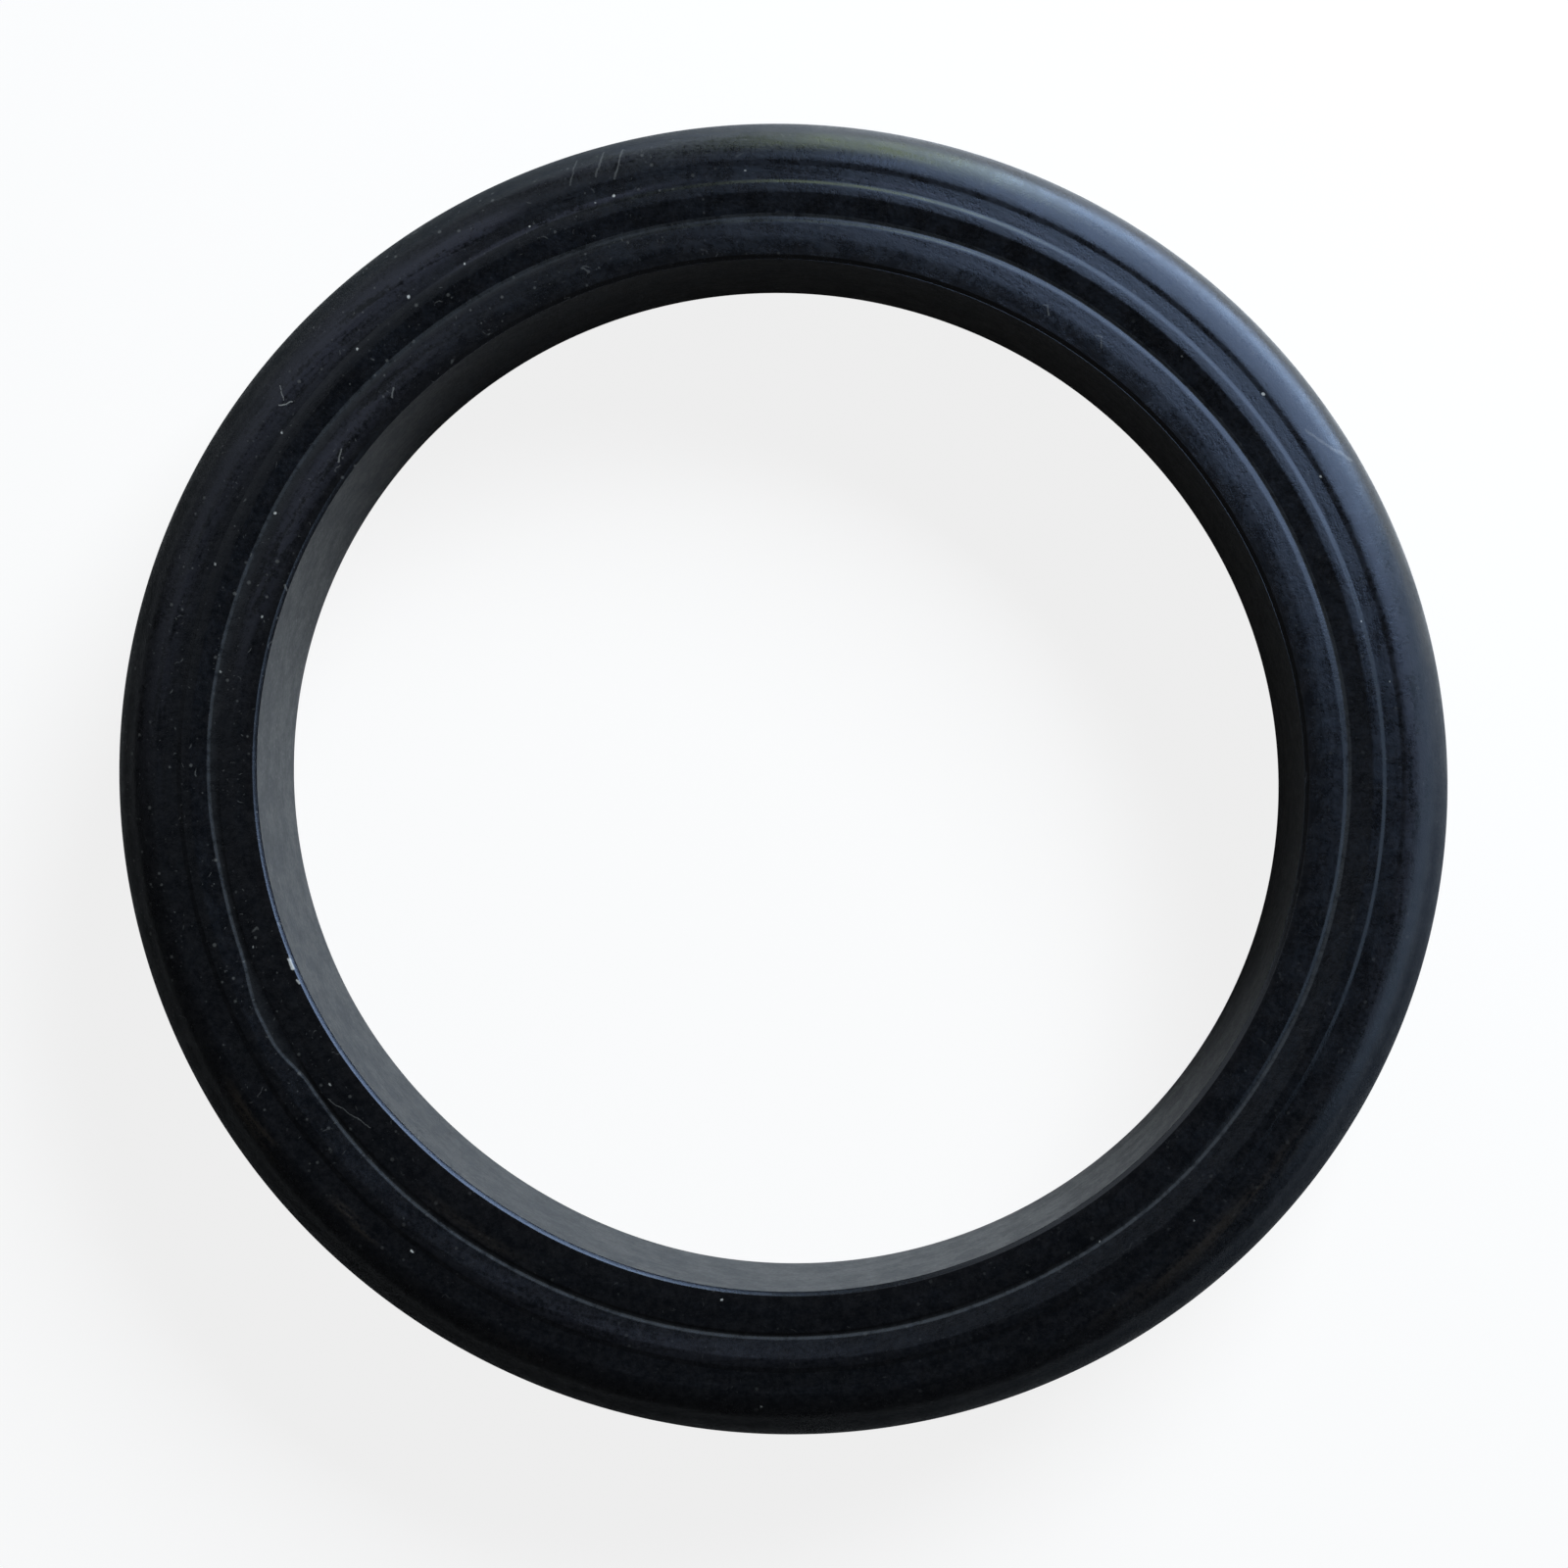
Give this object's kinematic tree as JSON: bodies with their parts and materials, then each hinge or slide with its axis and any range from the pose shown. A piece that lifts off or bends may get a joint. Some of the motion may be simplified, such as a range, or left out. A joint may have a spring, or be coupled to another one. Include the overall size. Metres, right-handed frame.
{
  "type": "rubber friction ring",
  "caption": "Moulded black rubber friction ring: plain bore and stepped clamping seats inside, full quarter-round shoulders and a narrow tread outside.",
  "frame": {"origin": "on the ring's axis, in the plane of the lower rim that the ring rests on", "axes": "+Z along the ring's axis, up from the rim it rests on; X and Y are any two radii, because the ring is round"},
  "size_m": [0.1396, 0.1396, 0.0191],
  "materials": {
    "rubber": "satin moulded rubber, near black with a blue cast"
  },
  "bodies": {
    "root": {"friction_ring": "rubber"}
  },
  "joints": []
}
